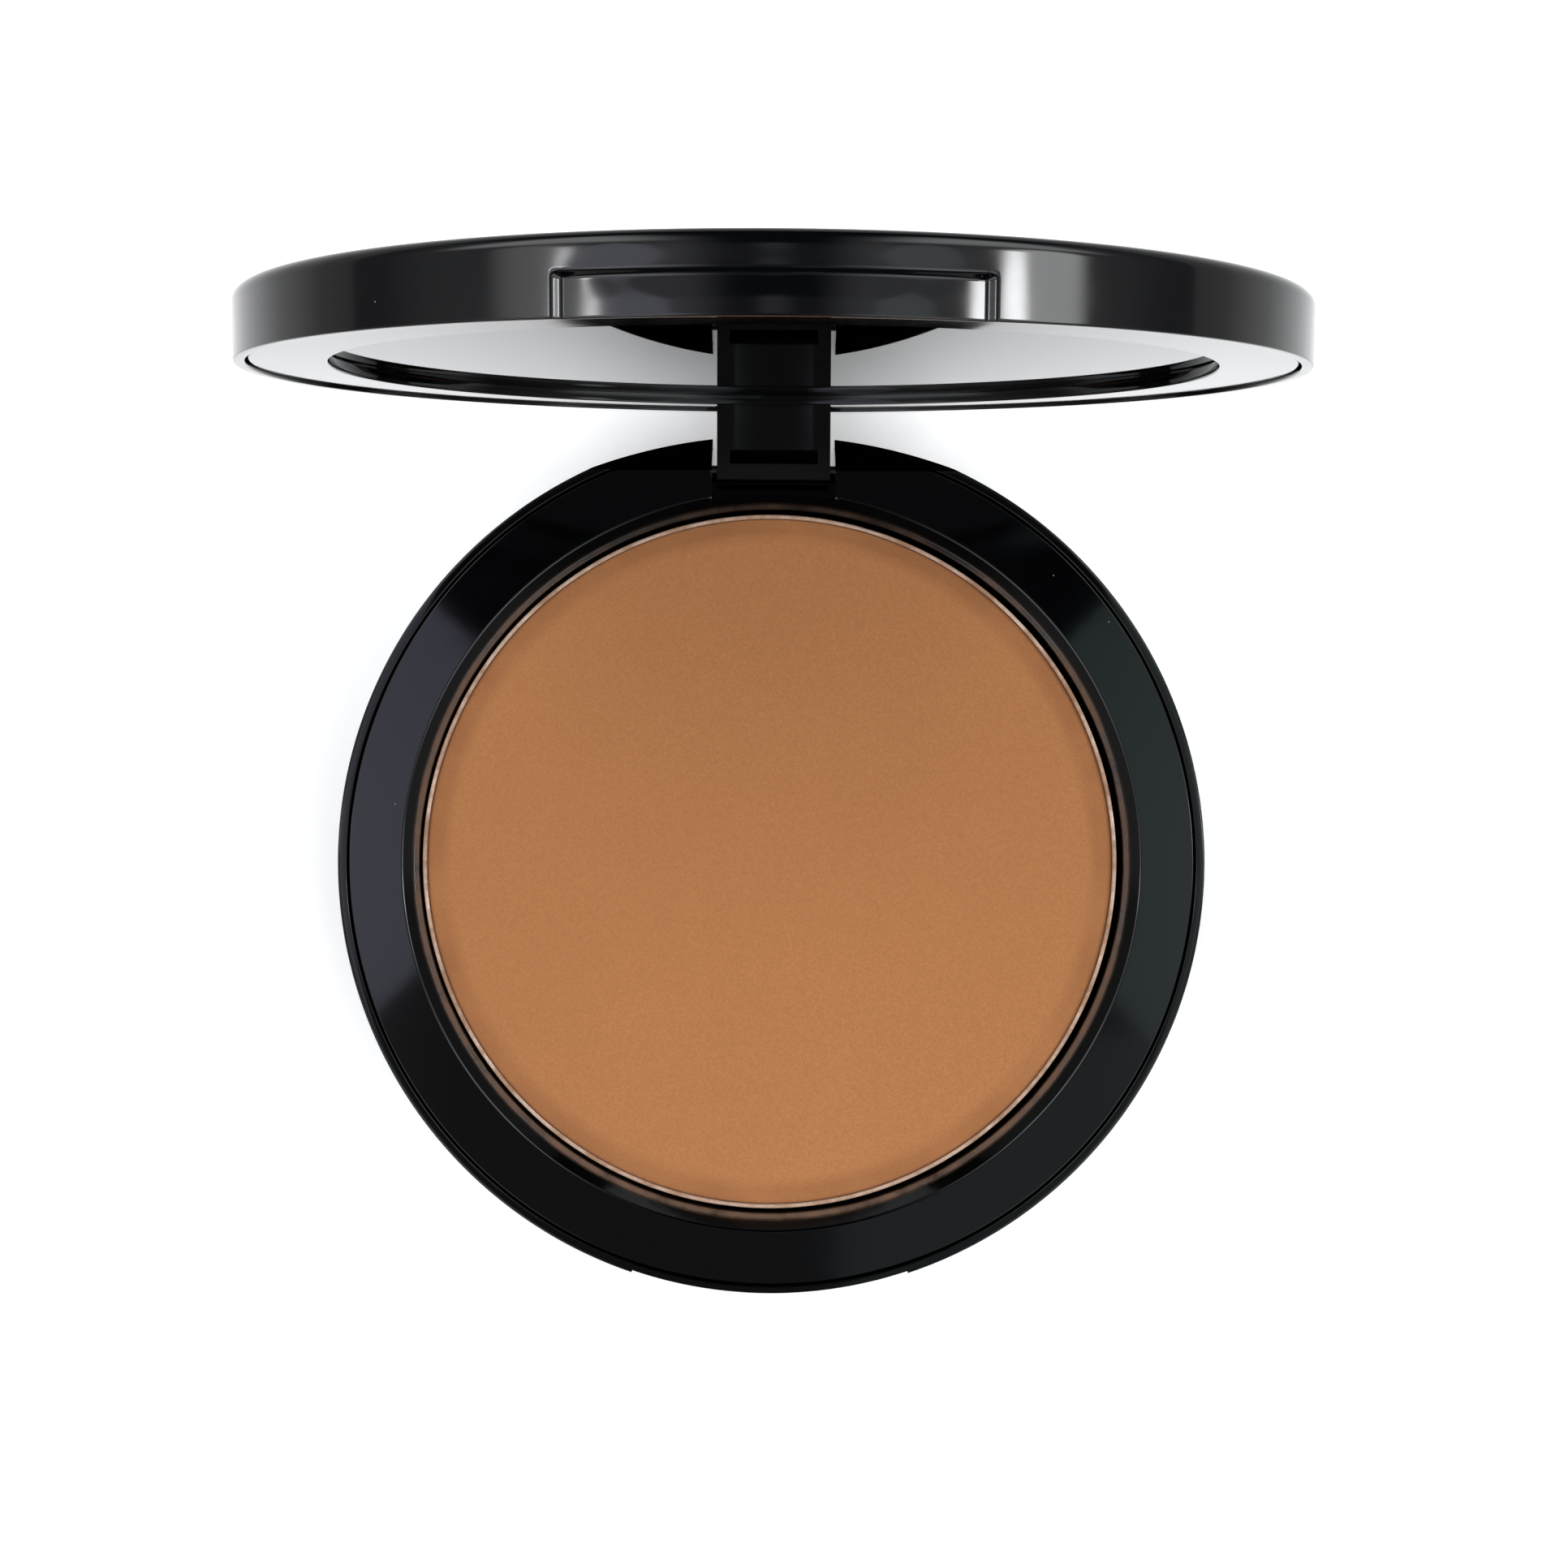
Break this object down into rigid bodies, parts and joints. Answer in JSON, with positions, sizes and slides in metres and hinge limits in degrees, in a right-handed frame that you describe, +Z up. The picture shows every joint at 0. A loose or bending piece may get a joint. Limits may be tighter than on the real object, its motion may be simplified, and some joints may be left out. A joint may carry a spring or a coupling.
{
  "type": "powder compact",
  "caption": "Round mirrored powder compact: base with a pan of pressed powder, and a lid with a mirror that swings on a hinge arm and pin.",
  "frame": {"origin": "centre of the base's underside, on the surface it rests on", "axes": "+Z up, -Y towards the user and the finger recess, +Y towards the hinge, X along the hinge pin"},
  "size_m": [0.074, 0.0812, 0.0745],
  "materials": {
    "black_gloss": "high gloss moulded plastic",
    "black_tray": "gloss moulded plastic with fine dust",
    "black_frame": "high gloss moulded plastic",
    "black_arm": "gloss panel, satin knuckle",
    "pan_metal": "thin pressed sheet, rim dusted with powder",
    "powder": "matte pressed powder",
    "adhesive": "hot-melt glue",
    "pin_steel": "ground steel",
    "magnet": "nickel plated",
    "mirror_glass": "silvered glass",
    "foam": "closed-cell foam tape"
  },
  "bodies": {
    "base": {"base_shell": "black_gloss", "base_tray": "black_tray", "powder_pan": "pan_metal", "pressed_powder": "powder", "pan_adhesive": "adhesive", "hinge_pin": "pin_steel", "base_magnet": "magnet"},
    "lid": {"lid_shell": "black_gloss", "mirror_frame": "black_frame", "mirror": "mirror_glass", "mirror_tape": "foam", "hinge_arm": "black_arm", "lid_magnet": "magnet"}
  },
  "joints": [
    {"name": "lid_hinge", "type": "hinge", "parent": "base", "child": "lid", "pos_m": [0, 0.0341, 0.00285], "axis": [1, 0, 0], "range_deg": [0, 83.5]}
  ]
}
